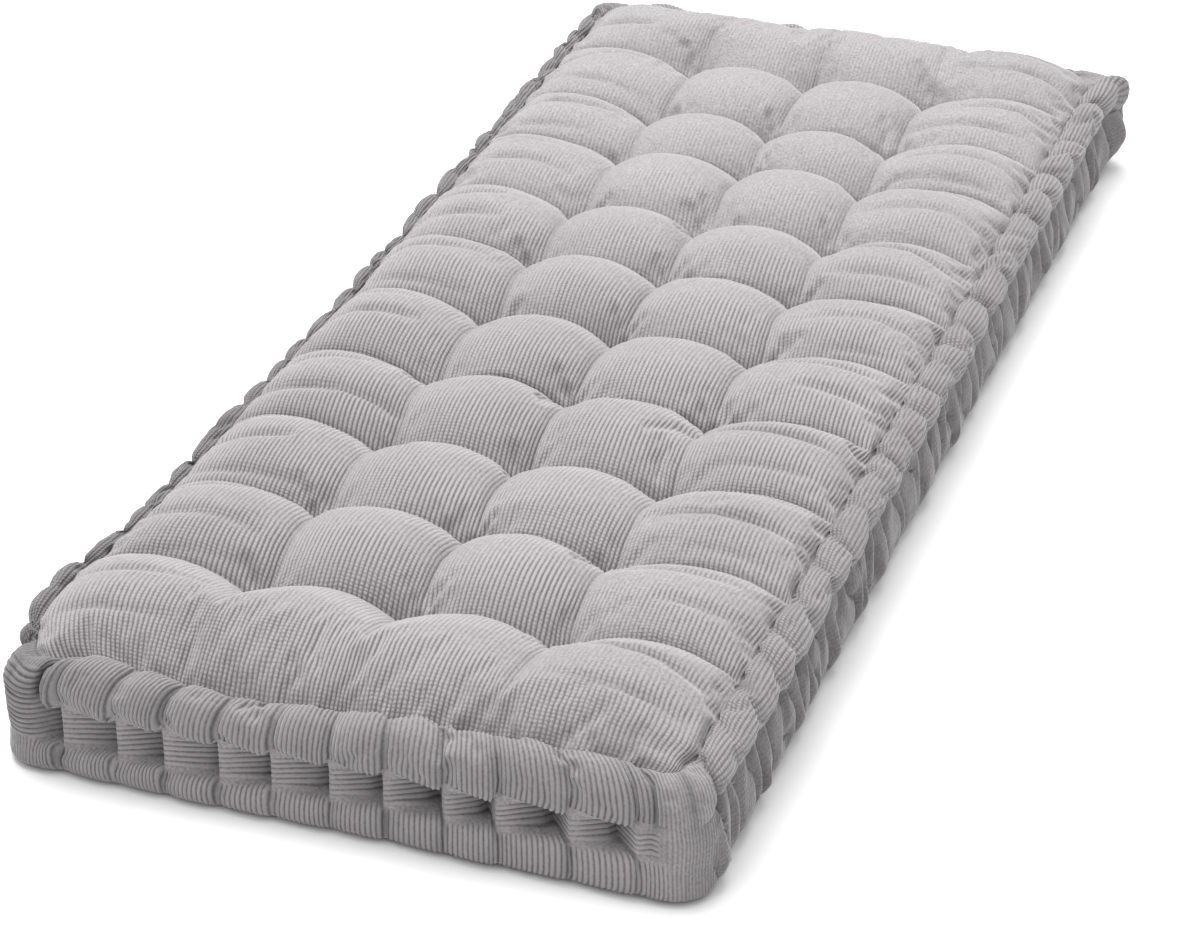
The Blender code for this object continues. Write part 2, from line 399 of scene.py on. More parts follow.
def cell_lines(stops, steps):
    """Grid lines from stop to stop, with the given number of steps in each cell."""
    lines = [stops[0]]
    for low, high, count in zip(stops, stops[1:], steps):
        lines += [low + (high - low) * n / count for n in range(1, count)] + [high]
    return np.array(lines)


def sim_lines():
    """Grid lines of the simulated top, across and along."""
    x_stops = (-WIDTH / 2 + SEAM_LEFT, *TUFT_COLUMNS, WIDTH / 2 - SEAM_RIGHT)
    y_stops = (-LENGTH / 2 + SEAM_END, *TUFT_ROWS, LENGTH / 2 - SEAM_END)
    return (
        cell_lines(x_stops, [SIM_ACROSS] * (len(x_stops) - 1)),
        cell_lines(y_stops, along_steps()),
    )


def along_steps():
    steps = [SIM_ALONG] * (len(TUFT_ROWS) + 1)
    steps[0] += SIM_END_EXTRA
    steps[-1] += SIM_END_EXTRA
    return steps


def smooth_step(values):
    values = np.clip(values, 0.0, 1.0)
    return values * values * (3.0 - 2.0 * values)


def between(levels, low, rise, high, fall):
    """1 from low + rise to high - fall, and 0 below low and above high."""
    return rising(levels, low, rise) * smooth_step((high - levels) / fall)


def catmull_rom(values, places, closed=False):
    """Values along the first axis at fractional places, on a smooth curve."""
    count = len(values)
    base = np.floor(places).astype(int)
    if not closed:
        base = np.clip(base, 0, count - 2)
    share = (places - base).reshape((-1,) + (1,) * (values.ndim - 1))
    index = [base + step for step in (-1, 0, 1, 2)]
    index = [i % count if closed else np.clip(i, 0, count - 1) for i in index]
    before, start, end, after = (values[i] for i in index)
    return 0.5 * (
        2.0 * start
        + (end - before) * share
        + (2.0 * before - 5.0 * start + 4.0 * end - after) * share**2
        + (3.0 * start - before - 3.0 * end + after) * share**3
    )


def ring_walk(grid):
    """The rim of a grid, anticlockwise from its front left corner."""
    return np.concatenate((grid[:-1, 0], grid[-1, :-1], grid[:0:-1, -1], grid[0, :0:-1]))


def table(pairs, places):
    """Metres at places, from a table of (place, tenths of a millimetre)."""
    at, values = zip(*pairs)
    return np.interp(places, at, np.array(values) / TENTHS)


def add_thing(name, data):
    """A new object of the scene with the given data."""
    thing = bpy.data.objects.new(name, data)
    bpy.context.scene.collection.objects.link(thing)
    return thing


def new_mesh(name, points, faces):
    mesh = bpy.data.meshes.new(name)
    mesh.from_pydata(points, [], faces)
    mesh.update()
    return mesh


def wandering(count, waves, chance):
    """Closed wandering line: (frequencies, sizes, phases) for wander_at."""
    numbers = np.arange(3, waves)
    sizes = np.array([chance.gauss(0.0, 1.0) for _ in numbers]) / math.sqrt(waves)
    phases = np.array([chance.uniform(0.0, 2.0 * math.pi) for _ in numbers])
    return numbers, sizes, phases, count


def wander_at(line, places):
    """Value of a wandering line, about -1 to 1, at places along it."""
    numbers, sizes, phases, count = line
    turn = np.asarray(places, float)[..., None] * 2.0 * np.pi / count
    return (sizes * np.cos(turn * numbers + phases)).sum(axis=-1)


def draw_chances(chance):
    """Every random number of the shape, so that each grid sees the same ones."""
    def draws(count, low, high):
        return np.array([chance.uniform(low, high) for _ in range(count)])

    pleats = [0.0]
    while pleats[-1] < POCKETS * POCKET_WIDTH:
        pleats.append(pleats[-1] + chance.uniform(*PLEAT_WIDTH))
    cells = (len(TUFT_COLUMNS) + 1, len(TUFT_ROWS) + 1)
    return {
        "crest": draws(cells[0] * cells[1], -CREST_STRAY, CREST_STRAY).reshape(cells),
        "tuft": [
            (chance.uniform(-TUFT_STRAY, TUFT_STRAY), chance.uniform(-TUFT_STRAY, TUFT_STRAY))
            for _ in TUFTS
        ],
        "ruck": [
            (chance.uniform(*RUCK_HEIGHT), chance.uniform(-RUCK_ASIDE, RUCK_ASIDE),
             chance.random())
            for _ in TUFTS
        ],
        "crease": [
            (chance.uniform(0.3, 1.0), chance.random(), chance.uniform(-1.0, 1.0))
            for _ in range(POCKETS)
        ],
        "lump": draws(POCKETS, *LUMP_SIZES),
        "groove": draws(POCKETS, *GROOVE_SIZES),
        "lower_groove": draws(POCKETS, *GROOVE_SIZES),
        "pocket": draws(POCKETS, *POCKET_SIZES),
        "slide": draws(POCKETS, -POCKET_SLIDE, POCKET_SLIDE),
        "pleats": np.array(pleats),
        "pleat_size": draws(len(pleats), *PLEAT_SIZES),
        "drift": wandering(POCKETS, 60, chance),
        "lean": wandering(POCKETS, 90, chance),
        "height": wandering(POCKETS, 40, chance),
        "shift": wandering(POCKETS, 30, chance),
        "bend": wandering(POCKETS, 45, chance),
    }


# ---- shape of the side


def pull_corner(x, y):
    """Moves the points near the front left corner inwards."""
    near = smooth_step((-y - 0.51) / 0.09) * smooth_step((-x - 0.08) / 0.15)
    return x + CORNER_PULL * near, y + 0.30 * CORNER_PULL * near


def edge_points(square, inset):
    """Points at a distance inside the outermost edge, and the way out of it there.

    square holds where they lie on a square from -1 to 1, inset may differ for each.
    """
    inset = np.broadcast_to(inset, square.shape[:1])[:, None]
    half = np.array((WIDTH / 2, LENGTH / 2)) - inset
    radius = CORNER_RADIUS - inset
    at = square * half
    over = np.clip(np.abs(at) - (half - radius), 0.0, radius)
    pull = over * np.sqrt(1.0 - 0.5 * (over[:, ::-1] / radius) ** 2)
    at_corner = (over > 0.0).all(axis=1)[:, None]
    at = np.where(at_corner, np.copysign(half - radius + pull, at), at)
    out = np.copysign(np.where(at_corner, pull, over), at)
    return at, out / np.maximum(np.hypot(out[:, 0], out[:, 1]), 1e-9)[:, None]


def square_at(places):
    """Where places round the rim of the simulated grid lie on a square from -1 to 1."""
    x_lines, y_lines = sim_lines()
    across, along = len(x_lines) - 1, len(y_lines) - 1
    x_share = x_lines / np.where(x_lines < 0.0, -x_lines[0], x_lines[-1])
    y_share = y_lines / y_lines[-1]
    corner = np.cumsum((0, across, along, across, along))
    x_at = np.concatenate((x_share, np.ones(along), x_share[::-1][1:], -np.ones(along)))
    y_at = np.concatenate((-np.ones(across), y_share, np.ones(across), y_share[::-1][1:]))
    index = np.arange(corner[-1] + 1)
    return np.stack((np.interp(places, index, x_at), np.interp(places, index, y_at)), -1)


def pocket_at(places):
    """Places round the simulated rim, counted in pockets."""
    return np.asarray(places, float) / SIM_PER_POCKET


def near_first_corner(places, reach, power):
    """1 at the front left corner, and less further round the side."""
    pocket = pocket_at(places)
    away = np.minimum(pocket, POCKETS - pocket) * POCKET_WIDTH
    return np.exp(-((away / reach) ** power))


def side_weights(pocket):
    """How far each place round the side is part of the right wall, the left wall and
    a corner."""
    def past(corner):
        return smooth_step((pocket - corner) * POCKET_WIDTH / (2.0 * CORNER_BLEND) + 0.5)

    right = past(CORNERS[1]) * (1.0 - past(CORNERS[2]))
    left = np.maximum(past(CORNERS[3]) * (1.0 - past(CORNERS[4])), 1.0 - past(CORNERS[0]))
    away = np.min([np.abs(pocket - corner) for corner in CORNERS], axis=0) * POCKET_WIDTH
    return right, left, np.exp(-((away / CORNER_BULGE) ** 4))


def side_surface(places, levels, drawn):
    """Points of the side, (levels, places, 3), with the pocket depth at each place."""
    pocket = pocket_at(places)
    right, left, corner = side_weights(pocket)
    wall = (right + left) * (1.0 - corner)
    end = (1.0 - right - left) * (1.0 - corner)

    slide = np.append(drawn["slide"], drawn["slide"][0])
    slid = pocket + np.interp(pocket, np.arange(POCKETS + 1), slide)
    number = np.floor(slid).astype(int) % POCKETS
    deep = np.interp(slid % 1.0, POCKET_AT, POCKET_DEPTH) * drawn["pocket"][number]
    deep = deep * np.clip(end, 0.0, 1.0)

    post, hollow, right_wall, left_wall, bulge = (
        np.array(profile)[:, None, :] / TENTHS
        for profile in (POST, POCKET, RIGHT_WALL, LEFT_WALL, CORNER)
    )
    profile = post + (hollow - post) * deep[:, None]
    profile = (
        profile * (1.0 - right - left)[:, None]
        + right_wall * right[:, None]
        + left_wall * left[:, None]
    )
    profile = profile + (bulge - profile) * corner[:, None]
    drift = HEIGHT_STRAY * wander_at(drawn["height"], pocket)
    profile[..., 1] += np.outer(RISE_SHARE, table(RISE, pocket) + drift)
    profile[..., 1] += np.outer(FOOT_SHARE, table(FOOT_RISE, pocket) * end + 0.5 * drift)
    profile[..., 0] -= np.outer(WALL_SHARE, table(WALL_OUT, pocket))
    profile[..., 0] -= np.outer(ROPE_SHARE, table(ROPE_OUT, pocket))

    levels = np.asarray(levels, float)
    shape = catmull_rom(profile, levels)
    below = catmull_rom(profile, np.minimum(levels + SLOPE_STEP, FOOT))
    slope = unit(below - catmull_rom(profile, np.maximum(levels - SLOPE_STEP, 0.0)))

    swell, fold_shade_mask = side_swell(pocket, levels[:, None], shape[..., 1], end, wall, drawn)
    square = square_at(places)
    points = np.empty((len(levels), len(pocket), 3))
    for row in range(len(levels)):
        xy, out = edge_points(square, shape[row, :, 0])
        xy = xy + out * (swell[row] * -slope[row, :, 1])[:, None]
        points[row, :, 0], points[row, :, 1] = pull_corner(xy[:, 0], xy[:, 1])
        points[row, :, 2] = shape[row, :, 1] + swell[row] * -slope[row, :, 0]
    points[..., 2] = np.maximum(points[..., 2], 0.0)
    return points, deep, end, wall, fold_shade_mask


def groove_at(places, sizes):
    """Crease at each stitch, sharp in its middle, of the size drawn for it."""
    nearest = np.round(places)
    off = np.abs(places - nearest) * POCKET_WIDTH / ROLL_CREASE_WIDTH
    return np.exp(-off) * sizes[nearest.astype(int) % POCKETS]


def side_swell(pocket, levels, heights, end, wall, drawn):
    """How far lumps, creases and pleats move the side outwards, and how far each point
    is down in a fold, from 0 to 1, which sets the painted shade in its folds. The levels come
    as a column."""
    down = np.clip(levels / LIP, 0.0, 1.0)
    on_roll = np.sin(np.pi * np.clip(levels / (LIP + 0.6), 0.0, 1.0)) ** 0.6
    shifted = pocket + ROPE_SHIFT * wall * wander_at(drawn["shift"], pocket)
    leaned = shifted + ROPE_LEAN * wall * down
    number = np.floor(leaned).astype(int) % POCKETS
    lump = (arch(leaned) - LUMP_LEVEL) * drawn["lump"][number]
    swell = on_roll * lump * (END_LUMP * end + SIDE_LUMP * wall)

    groove = groove_at(leaned, drawn["groove"])
    swell -= on_roll * (0.3 + 0.7 * down) * groove * (END_CREASE * end + SIDE_CREASE * wall)
    fold_shade_mask = on_roll * groove

    # The bulges at the corners are set off by a deep crease on each side
    for corner in CORNERS:
        for beside in (corner - CORNER_CREASE_AT, corner + CORNER_CREASE_AT):
            off = np.abs((pocket - beside + POCKETS / 2) % POCKETS - POCKETS / 2) * POCKET_WIDTH
            fold = between(levels, *CORNER_CREASE_LEVELS) * np.exp(-off / CORNER_CREASE_WIDTH)
            swell -= CORNER_CREASE * fold
            fold_shade_mask = fold_shade_mask + fold

    # Pleats hang from the roll down the side walls
    run = pocket * POCKET_WIDTH + PLEAT_LEAN * (heights - PLEAT_MIDDLE)
    run = run + PLEAT_STRAY * wander_at(drawn["lean"], pocket) * (1.0 - heights / PLEAT_TOP)
    bend = heights / PLEAT_BEND_LENGTH + 6.0 * wander_at(drawn["bend"], pocket)
    run = (run + PLEAT_BEND * np.sin(bend)) % drawn["pleats"][-1]
    which = np.interp(run, drawn["pleats"], np.arange(len(drawn["pleats"])))
    size = drawn["pleat_size"][np.floor(which).astype(int) % len(drawn["pleats"])]
    size = size * (0.75 + 0.45 * np.sin(heights / PLEAT_FADE_LENGTH + 2.4 * np.floor(which)))
    valley = np.abs(arch(which))
    hang = between(levels, *PLEAT_LEVELS)
    swell += PLEAT_DEPTH * ((valley**PLEAT_ROUNDNESS - PLEAT_LEVEL) * size) * hang * wall
    fold_shade_mask = fold_shade_mask + np.exp(-valley / PLEAT_FOLD) * np.clip(size, 0.0, 1.0) * hang * wall

    # Lumps of the lower roll under the pockets
    low = between(levels, *LOWER_LUMP_LEVELS)
    groove = groove_at(pocket, drawn["lower_groove"])
    hump = LOWER_LUMP * (arch(pocket) - 0.5) - LOWER_CREASE * groove
    swell += low * (hump * end)
    fold_shade_mask = fold_shade_mask + low * (groove * end)

    swell += DRIFT * between(levels, *DRIFT_LEVELS) * wander_at(drawn["drift"], pocket)
    knot = np.exp(-(((pocket - KNOT_AT) * POCKET_WIDTH / KNOT_REACH) ** 2))
    return swell + KNOT_SIZE * between(levels, *KNOT_LEVELS) * knot, np.clip(fold_shade_mask, 0.0, 1.0)


def painted_side_shade(places, fold_shade_mask, end_painted_shade, right_painted_shade, left_painted_shade):
    """Painted shade of the cloth round the side, set for the ends, the right and the left,
    darker at the first corner and in its folds, with painted light towards the far end.
    """
    right, left, _corner = side_weights(pocket_at(places))
    painted_light_and_shade = end_painted_shade + (right_painted_shade - end_painted_shade) * right + (left_painted_shade - end_painted_shade) * left
    painted_light_and_shade = painted_light_and_shade * (1.0 - CORNER_PAINTED_SHADE * near_first_corner(places, CORNER_PAINTED_SHADE_REACH, 2))
    painted_light_and_shade = painted_light_and_shade * (1.0 + FAR_PAINTED_LIGHT * far_end(LENGTH / 2 * square_at(places)[:, 1]))
    return painted_light_and_shade * (1.0 - FOLD_PAINTED_SHADE * fold_shade_mask)


def far_end(y):
    """0 at the front, 1 at the back: how far the pile is brushed flat, and how much painted
    light makes the cloth lighter.
    """
    return rising(y, *FAR_BRUSHED)


# ---- shape of the top


def cell_shares(places, steps):
    """(cell, share): the cell each fractional place is in, and how far along it."""
    stops = np.concatenate(([0], np.cumsum(steps)))
    cells = np.clip(np.searchsorted(stops, places, side="right") - 1, 0, len(steps) - 1)
    return cells, (places - stops[cells]) / np.array(steps)[cells]


def dome(shares, squareness):
    """Puffed profile from one tuft, at 0, over a crest of 1, to the next tuft, at 1."""
    return np.maximum(0.0, 1.0 - (2.0 * shares - 1.0) ** 2) ** squareness


def pillow_profile(places, steps, valley_at_edge, squareness, drop, fullness):
    """(rise, fall, depth, out) of the puffed profile at fractional places of the grid.

    rise is 0 at a tuft and 1 on a crest. In the outer cells the profile stays on
    the crest, fall takes it down to 0 at the seam, depth says how much is left
    there of the valleys that run out to the edge, and out is 1 at the seam.
    """
    cells, shares = cell_shares(places, steps)
    first, last = cells == 0, cells == len(steps) - 1
    outer = first | last
    out = np.where(first, 1.0 - shares, shares)
    past_crest = np.maximum(0.0, 2.0 * out - 1.0)
    rise = dome(np.where(outer, np.minimum(out, 0.5), shares), squareness)
    fall = np.where(outer, (1.0 - past_crest**drop) ** fullness, 1.0)
    depth = np.where(outer, 1.0 - (1.0 - valley_at_edge) * np.sin(0.5 * np.pi * out), 1.0)
    return rise, fall, depth, np.where(outer, out, 0.0)


def middle_of_pillow(row):
    """1 in the middle of a side pillow and 0 beside the tufts."""
    return float(arch(cell_shares(np.array([row]), along_steps())[1][0]))


def flat_grid(columns, rows):
    """x as a column and y as a row, in metres, at fractional places of the grid."""
    x, y = (
        np.interp(places, np.arange(len(lines)), lines)
        for places, lines in zip((columns, rows), sim_lines())
    )
    return x[:, None], y[None, :]


def crease_dip(columns, rows, drawn):
    """How far the creases that run in from the stitches sink the top at each point."""
    x_lines, y_lines = sim_lines()
    x, y = flat_grid(columns, rows)
    rim = ring_walk(np.stack(np.meshgrid(x_lines, y_lines, indexing="ij"), -1))
    row_at = ring_walk(np.broadcast_to(np.arange(len(y_lines)), (len(x_lines), len(y_lines))))
    inwards = [
        np.maximum((edge - way) / (edge - tuft), 0.0)
        for edge, way, tuft in (
            (y_lines[0], y, TUFT_ROWS[0]),
            (x_lines[-1], x, TUFT_COLUMNS[-1]),
            (y_lines[-1], y, TUFT_ROWS[-1]),
            (x_lines[0], x, TUFT_COLUMNS[0]),
        )
    ]
    dip = np.zeros((len(columns), len(rows)))
    for pocket in range(POCKETS):
        if pocket in CORNERS:
            continue
        side = sum(pocket > corner for corner in CORNERS) - 1
        place = pocket * SIM_PER_POCKET
        strong, far, slant = drawn["crease"][pocket]
        if side % 2:
            strong *= middle_of_pillow(row_at[place])
            aside, limits = y - rim[place, 1], (*SIDE_CREASE_DEPTH, *SIDE_CREASE_REACH)
        else:
            aside, limits = x - rim[place, 0], (*END_CREASE_DEPTH, *END_CREASE_REACH)
        shallow, deep, near, reach = limits
        inward = inwards[side]
        off = np.abs(aside - CREASE_SLANT * slant * inward)
        along_crease = np.clip(1.0 - inward / (near + (reach - near) * far), 0.0, 1.0)
        along_crease **= CREASE_FADE
        run_in = smooth_step(inward / CREASE_RUN_IN)
        along_crease *= CREASE_START + (1.0 - CREASE_START) * run_in
        width = CREASE_WIDTH + CREASE_SPREAD * inward
        width = width + CREASE_MOUTH * np.exp(-inward / CREASE_MOUTH_REACH)
        dip += (shallow + (deep - shallow) * strong) * along_crease * np.exp(-off / width)
    return dip


def tuft_relief(x, y, drawn):
    """Ruck and star of wrinkles that each tuft pulls into the cloth round it."""
    relief = np.zeros_like(x)
    for (tuft_x, tuft_y), (height, aside, turn) in zip(TUFTS, drawn["ruck"]):
        dx, dy = x - tuft_x, y - tuft_y
        ruck = ((dx - aside) / RUCK_SIZE[0]) ** 2 + ((dy - RUCK_BEHIND) / RUCK_SIZE[1]) ** 2
        relief += height * np.exp(-ruck)
        away = np.hypot(dx, dy)
        spokes = np.cos(STAR_SPOKES * np.arctan2(dy, dx) + 2.0 * np.pi * turn)
        ring = (away / STAR_REACH) ** 2 * np.exp(1.0 - (away / STAR_REACH) ** 2)
        relief += STAR_DEPTH * spokes * ring
    return relief


def top_surface(columns, rows, drawn):
    """Points of the top panel, (columns, rows, 3), before it is simulated."""
    x_steps, y_steps = [SIM_ACROSS] * (len(TUFT_COLUMNS) + 1), along_steps()
    across, along = sum(x_steps), sum(y_steps)
    rise_x, fall_x, depth_x, out_x = (
        values[:, None]
        for values in pillow_profile(
            columns, x_steps, VALLEY_AT_SIDES, DOME_ACROSS, *FALL_AT_SIDES
        )
    )
    rise_y, fall_y, depth_y, out_y = (
        values[None, :]
        for values in pillow_profile(rows, y_steps, VALLEY_AT_ENDS, DOME_ALONG, *FALL_AT_ENDS)
    )
    last_cell = rows[None, :] > along - y_steps[-1]
    depth_y = np.where(last_cell, depth_y**3, depth_y)
    share = (
        DIP_COLUMNS * (1.0 - rise_x) * depth_y
        + DIP_ROWS * (1.0 - rise_y) * depth_x
        + DIP_TUFTS * (1.0 - rise_x) * (1.0 - rise_y) * depth_x * depth_y
    )
    height = CREST_HEIGHT - (CREST_HEIGHT - PIT_HEIGHT) * np.minimum(share, 1.0)
    cells_x, cells_y = cell_shares(columns, x_steps)[0], cell_shares(rows, y_steps)[0]
    height += drawn["crest"][cells_x][:, cells_y] * rise_x * rise_y
    height -= BACK_DROP * last_cell * np.sin(np.pi * out_y)
    height -= crease_dip(columns, rows, drawn)

    x, y = np.broadcast_arrays(*flat_grid(columns, rows))
    height += tuft_relief(x, y, drawn)
    spread = 0.5 * (TUFT_COLUMNS[1] - TUFT_COLUMNS[0])
    for (tuft_x, tuft_y), (stray_x, stray_y) in zip(TUFTS, drawn["tuft"]):
        near = np.maximum(0.0, 1.0 - np.hypot(x - tuft_x, y - tuft_y) / spread)
        x = x + stray_x * near
        y = y + stray_y * near

    # The rim follows the top of the side, and the outer pillows are drawn along
    places, sizes = ring_places(columns, rows)
    rim = side_surface(places, [0.0], drawn)[0][0]
    flat = np.stack((x, y), -1)
    front, right, back, left = split_ring(rim[:, :2] - ring_walk(flat), sizes)
    out_x, out_y = smooth_step(out_x), smooth_step(out_y)
    near_left, near_right = (
        out_x * side[:, None] for side in (columns < across / 2, columns > across / 2)
    )
    near_front, near_back = (out_y * side for side in (rows < along / 2, rows > along / 2))
    flat = flat + near_left[..., None] * left + near_right[..., None] * right
    flat = flat + near_front[..., None] * front[:, None] + near_back[..., None] * back[:, None]
    for by_x, side in ((near_left, left), (near_right, right)):
        for by_y, end in ((near_front, 0), (near_back, -1)):
            flat = flat - (by_x * by_y)[..., None] * side[end]

    tops = split_ring(rim[:, 2], sizes)
    edges = (near_front, near_right, near_back, near_left)
    weights = [1.0 / (1.0 - edge + SEAM_BLEND) ** 3 for edge in edges]
    heights = (tops[0][:, None], tops[1], tops[2][:, None], tops[3])
    total = sum(np.broadcast_to(weight, height.shape) for weight in weights)
    seam = sum(weight * level for weight, level in zip(weights, heights)) / total
    points = np.dstack((flat, seam + (height - seam) * fall_x * fall_y))
    set_rim(points, rim)
    return points


def ring_places(columns, rows):
    """Places round the simulated rim of the rim of a grid, and lines on each side."""
    across, along = columns[-1], rows[-1]
    places = np.concatenate(
        (
            columns[:-1],
            across + rows[:-1],
            2 * across + along - columns[:0:-1],
            2 * (across + along) - rows[:0:-1],
        )
    )
    return places, [len(columns) - 1, len(rows) - 1] * 2


def split_ring(ring, sizes):
    """A ring cut at its corners: front, right, back and left, each from low to high."""
    closed = np.concatenate((ring, ring[:1]))
    ends = np.concatenate(([0], np.cumsum(sizes)))
    front, right, back, left = (closed[a : b + 1] for a, b in zip(ends, ends[1:]))
    return front, right, back[::-1], left[::-1]


def set_rim(grid, ring):
    """Puts the points of a ring on the rim of a grid."""
    number = np.arange(grid.shape[0] * grid.shape[1]).reshape(grid.shape[:2])
    grid.reshape(-1, grid.shape[2])[ring_walk(number)] = ring


# ---- simulation


def grid_faces(across, along, first=0):
    """Quads of a grid of points numbered along first, then across."""
    number = first + np.arange(across * along).reshape(across, along)
    return np.stack(
        (number[:-1, :-1], number[1:, :-1], number[1:, 1:], number[:-1, 1:]), -1
    ).reshape(-1, 4)


def ring_faces(numbers):
    """Quads between the rings of a side, from the top ring down. Closed rings."""
    after = np.roll(numbers, -1, axis=1)
    return np.stack((numbers[:-1], numbers[1:], after[1:], after[:-1]), -1).reshape(-1, 4)


def set_weights(thing, name, weights):
    group = thing.vertex_groups.new(name=name)
    for number, weight in enumerate(weights):
        group.add([number], float(weight), "REPLACE")


def simulate(top, rings, chance):
    """Lets the cloth swell against its tufts and stitches. Returns how both parts move."""
    across, along = top.shape[:2]
    grid = np.arange(across * along).reshape(across, along)
    rim = ring_walk(grid)
    lower = across * along + np.arange((len(rings) - 1) * len(rim)).reshape(-1, len(rim))
    numbers = np.vstack((rim[None, :], lower))
    points = np.concatenate((top.reshape(-1, 3), rings[1:].reshape(-1, 3)))
    jitter = np.array([chance.gauss(0.0, 1.0) for _ in range(points.size)])
    start = points + SIM_JITTER * jitter.reshape(points.shape)
    faces = np.concatenate((grid_faces(across, along), ring_faces(numbers)))
    mesh = new_mesh("cloth_study", start.tolist(), faces.tolist())
    thing = add_thing("cloth_study", mesh)

    hold = np.full(len(points), SIM_SUPPORT)
    for cell_x in range(1, len(TUFT_COLUMNS) + 1):
        for cell_y in range(1, len(TUFT_ROWS) + 1):
            hold[grid[SIM_ACROSS * cell_x, SIM_ALONG * cell_y + SIM_END_EXTRA]] = 1.0
    hold[rim[::SIM_PER_POCKET]] = 1.0
    hold[numbers[-1]] = 1.0
    to_side = WIDTH / 2 - SEAM_RIGHT - np.abs(points[:, 0])
    set_weights(thing, "hold", hold)
    set_weights(thing, "gather", np.clip(1.0 - to_side / SIM_EDGE_BAND, 0.0, 1.0))

    cloth = thing.modifiers.new("cloth", "CLOTH")
    for name, value in SIM_SETTINGS.items():
        setattr(cloth.settings, name, value)
    cloth.settings.effector_weights.gravity = 0.0
    cloth.collision_settings.use_collision = False
    cloth.collision_settings.use_self_collision = False

    scene = bpy.context.scene
    cloth.point_cache.frame_start = 1
    cloth.point_cache.frame_end = SIM_FRAMES + 1
    for number in range(1, SIM_FRAMES + 1):
        scene.frame_set(number)
    posed = thing.evaluated_get(bpy.context.evaluated_depsgraph_get())
    moved = np.empty(points.size, np.float32)
    posed.data.vertices.foreach_get("co", moved)
    move = moved.reshape(-1, 3).astype(float) - points
    size = np.linalg.norm(move, axis=1)[:, None]
    move *= np.minimum(1.0, SIM_REACH / np.maximum(size, 1e-9))
    bpy.data.objects.remove(thing, do_unlink=True)
    bpy.data.meshes.remove(mesh)
    scene.frame_set(1)
    return (
        move[: across * along].reshape(across, along, 3),
        move[numbers.reshape(-1)].reshape(*numbers.shape, 3),
    )


# ---- fine grid and ribs


def even_places(points, count):
    """Fractional places along the first axis that cut the cloth into even widths."""
    run = cloth_run(points)
    return np.interp(np.linspace(0.0, run[-1], count + 1), run, np.arange(len(run)))


def fine_columns(top):
    """Places across the simulated grid of the fine grid's lines."""
    return even_places(top, int(round(cloth_run(top)[-1] / RIB_PITCH)) * LINES_PER_RIB)


def fine_rows():
    """Places along the simulated grid, closer together beside the tufts."""
    y_lines = sim_lines()[1]
    places = [0.0]
    first = 0
    for count in along_steps():
        width = y_lines[first + count] - y_lines[first]
        first += count
        rows = int(round(width / ROW_SPACING))
        share = np.arange(1, rows + 1) / rows
        share = share - ROW_CROWDING * np.sin(2.0 * np.pi * share) / (2.0 * np.pi)
        places += list(places[-1] + count * share)
    return np.array(places)


def grid_normals(points):
    """Unit normals, up, of a grid of points that runs across and along."""
    return unit(np.cross(np.gradient(points, axis=0), np.gradient(points, axis=1)))


def ring_normals(points):
    """Unit normals, outward, of closed rings that run down the side."""
    by_column = np.roll(points, -1, axis=1) - np.roll(points, 1, axis=1)
    return unit(np.cross(np.gradient(points, axis=0), by_column))


def rib_wave(lines):
    """Height of the ribs on numbered lines of the fine grid."""
    return RIB_HEIGHT * np.cos(2.0 * np.pi * lines / LINES_PER_RIB)


def build_mesh(name, points, faces, uvs, material, nap, painted_light_and_shade=1.0, beads=0.0):
    """A smooth mesh piece with cloth coordinates, in metres, on its faces.

    Its points carry how far the nap is brushed, the light and shade painted into the cloth's
    colour, and extra beads.
    """
    mesh = new_mesh(name, points.reshape(-1, 3).tolist(), faces.tolist())
    layer = mesh.uv_layers.new(name="cloth")
    layer.data.foreach_set("uv", uvs.reshape(-1).astype(np.float32))
    for mark, values in (("nap", nap), ("painted_light_and_shade", painted_light_and_shade), ("beads", beads)):
        values = np.broadcast_to(values, nap.shape).reshape(-1).astype(np.float32)
        mesh.attributes.new(mark, "FLOAT", "POINT").data.foreach_set("value", values)
    mesh.materials.append(material)
    mesh.shade_smooth()
    return add_thing(name, mesh)


def build_side(name, points, heights, level, uvs, material, ribbed, painted_light_and_shade, beads=0.0):
    """A piece of the side. Its ribs lie level where level is high, at the given heights."""
    numbers = np.arange(points.size // 3).reshape(points.shape[:2])
    uvs = np.where((level[:-1] > LEVEL_FROM)[..., None, None], level_cloth(heights), uvs)
    return build_mesh(
        name, points, ring_faces(numbers), uvs, material, 1.0 - ribbed, painted_light_and_shade, beads
    )


